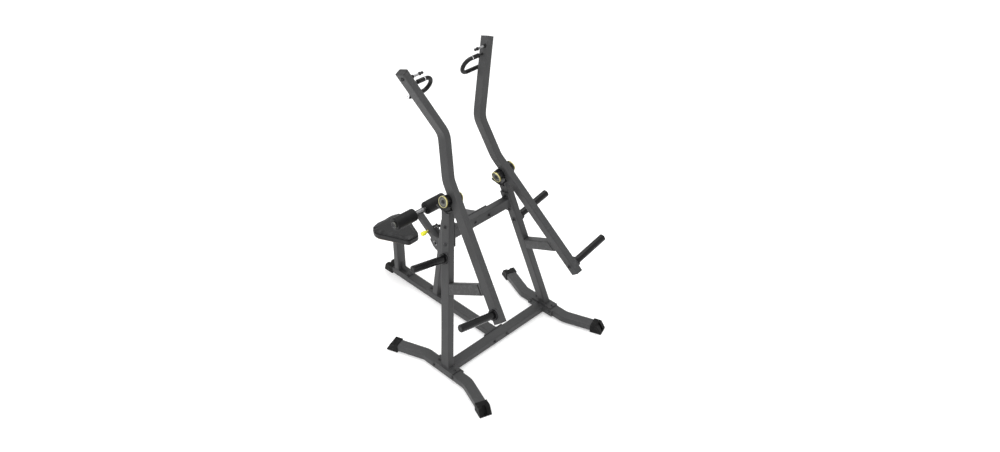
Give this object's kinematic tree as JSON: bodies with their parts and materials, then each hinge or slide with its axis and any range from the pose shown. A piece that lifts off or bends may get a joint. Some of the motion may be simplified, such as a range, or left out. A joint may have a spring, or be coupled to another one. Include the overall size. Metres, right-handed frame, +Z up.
{
  "type": "lat pulldown machine",
  "caption": "Plate-loaded lat pulldown machine with independent lever arms, swivelling grips, a seat and a swinging thigh hold-down with foam rollers.",
  "frame": {"origin": "middle of the footprint, on the floor", "axes": "+Z up, +X across the machine, +Y from the weight end of the levers towards the seat"},
  "size_m": [1.3274, 1.6666, 2.0428],
  "materials": {
    "charcoal_paint": "fine-textured powder coat, satin",
    "black_powder": "smooth black powder coat",
    "black_steel": "black coated steel",
    "rubber": "moulded black rubber",
    "grip_rubber": "black rubber sleeve",
    "foam_rubber": "black skinned foam",
    "black_vinyl": "black upholstery vinyl with a fine grain",
    "plywood": "black-stained plywood",
    "chrome": "polished",
    "yellow_zinc": "yellow-passivated zinc",
    "yellow_plastic": "bright yellow moulded plastic"
  },
  "bodies": {
    "frame": {"base_beam": "charcoal_paint", "spine": "charcoal_paint", "seat_post": "charcoal_paint", "upper_beam": "charcoal_paint", "central_post": "charcoal_paint", "hold_down_bracket": "charcoal_paint", "spine_cap": "rubber", "seat_cushion": "black_vinyl", "seat_board": "plywood", "hinge_bolt": "black_steel", "left_foot": "charcoal_paint", "left_upright": "charcoal_paint", "left_stop": "charcoal_paint", "left_front_foot_cap": "rubber", "left_rear_foot_cap": "rubber", "left_bumper": "rubber", "left_storage_horn": "black_powder", "left_outer_bearing": "black_steel", "left_inner_bearing": "black_steel", "left_axle": "black_steel", "left_outer_ring": "yellow_zinc", "left_inner_ring": "yellow_zinc", "right_foot": "charcoal_paint", "right_upright": "charcoal_paint", "right_stop": "charcoal_paint", "right_front_foot_cap": "rubber", "right_rear_foot_cap": "rubber", "right_bumper": "rubber", "right_storage_horn": "black_powder", "right_outer_bearing": "black_steel", "right_inner_bearing": "black_steel", "right_axle": "black_steel", "right_outer_ring": "yellow_zinc", "right_inner_ring": "yellow_zinc"},
    "left_arm": {"left_arm": "charcoal_paint", "left_arm_lower_plug": "rubber", "left_arm_top_plug": "rubber", "left_weight_horn": "black_powder", "left_handle_stud": "black_steel", "left_peg": "chrome"},
    "right_arm": {"right_arm": "charcoal_paint", "right_arm_lower_plug": "rubber", "right_arm_top_plug": "rubber", "right_weight_horn": "black_powder", "right_handle_stud": "black_steel", "right_peg": "chrome"},
    "left_handle": {"left_handle_hub": "charcoal_paint", "left_grip": "grip_rubber", "left_grip_cap": "chrome"},
    "right_handle": {"right_handle_hub": "charcoal_paint", "right_grip": "grip_rubber", "right_grip_cap": "chrome"},
    "hold_down": {"hold_down_tube": "charcoal_paint", "roller_axle": "chrome", "left_roller_hub": "black_steel", "right_roller_hub": "black_steel", "pin_barrel": "yellow_zinc"},
    "pull_pin": {"pull_pin": "yellow_plastic"},
    "left_roller": {"left_roller": "foam_rubber"},
    "right_roller": {"right_roller": "foam_rubber"}
  },
  "joints": [
    {"name": "left_arm_pivot", "type": "hinge", "parent": "frame", "child": "left_arm", "pos_m": [-0.23274, -0.17167, 1.19449], "axis": [-0.9781, 0, 0.2079], "range_deg": [0, 75]},
    {"name": "right_arm_pivot", "type": "hinge", "parent": "frame", "child": "right_arm", "pos_m": [0.23274, -0.17167, 1.19449], "axis": [-0.9781, 0, -0.2079], "range_deg": [0, 75]},
    {"name": "left_handle_swivel", "type": "hinge", "parent": "left_arm", "child": "left_handle", "pos_m": [-0.23, 0.07033, 1.932], "axis": [1, 0, 0], "range_deg": [-8, 180]},
    {"name": "right_handle_swivel", "type": "hinge", "parent": "right_arm", "child": "right_handle", "pos_m": [0.23, 0.07033, 1.932], "axis": [1, 0, 0], "range_deg": [-8, 180]},
    {"name": "hold_down_hinge", "type": "hinge", "parent": "frame", "child": "hold_down", "pos_m": [0, 0.23733, 0.539], "axis": [1, 0, 0], "range_deg": [0, 36]},
    {"name": "pin_pull", "type": "slide", "parent": "hold_down", "child": "pull_pin", "axis": [-1, 0, 0], "range_m": [0, 0.012], "stiffness_N_per_m": 400, "springref_m": -0.01},
    {"name": "left_roller_turn", "type": "hinge", "parent": "hold_down", "child": "left_roller", "pos_m": [-0.14, 0.42341, 0.70139], "axis": [1, 0, 0], "continuous": true},
    {"name": "right_roller_turn", "type": "hinge", "parent": "hold_down", "child": "right_roller", "pos_m": [0.14, 0.42341, 0.70139], "axis": [1, 0, 0], "continuous": true}
  ]
}
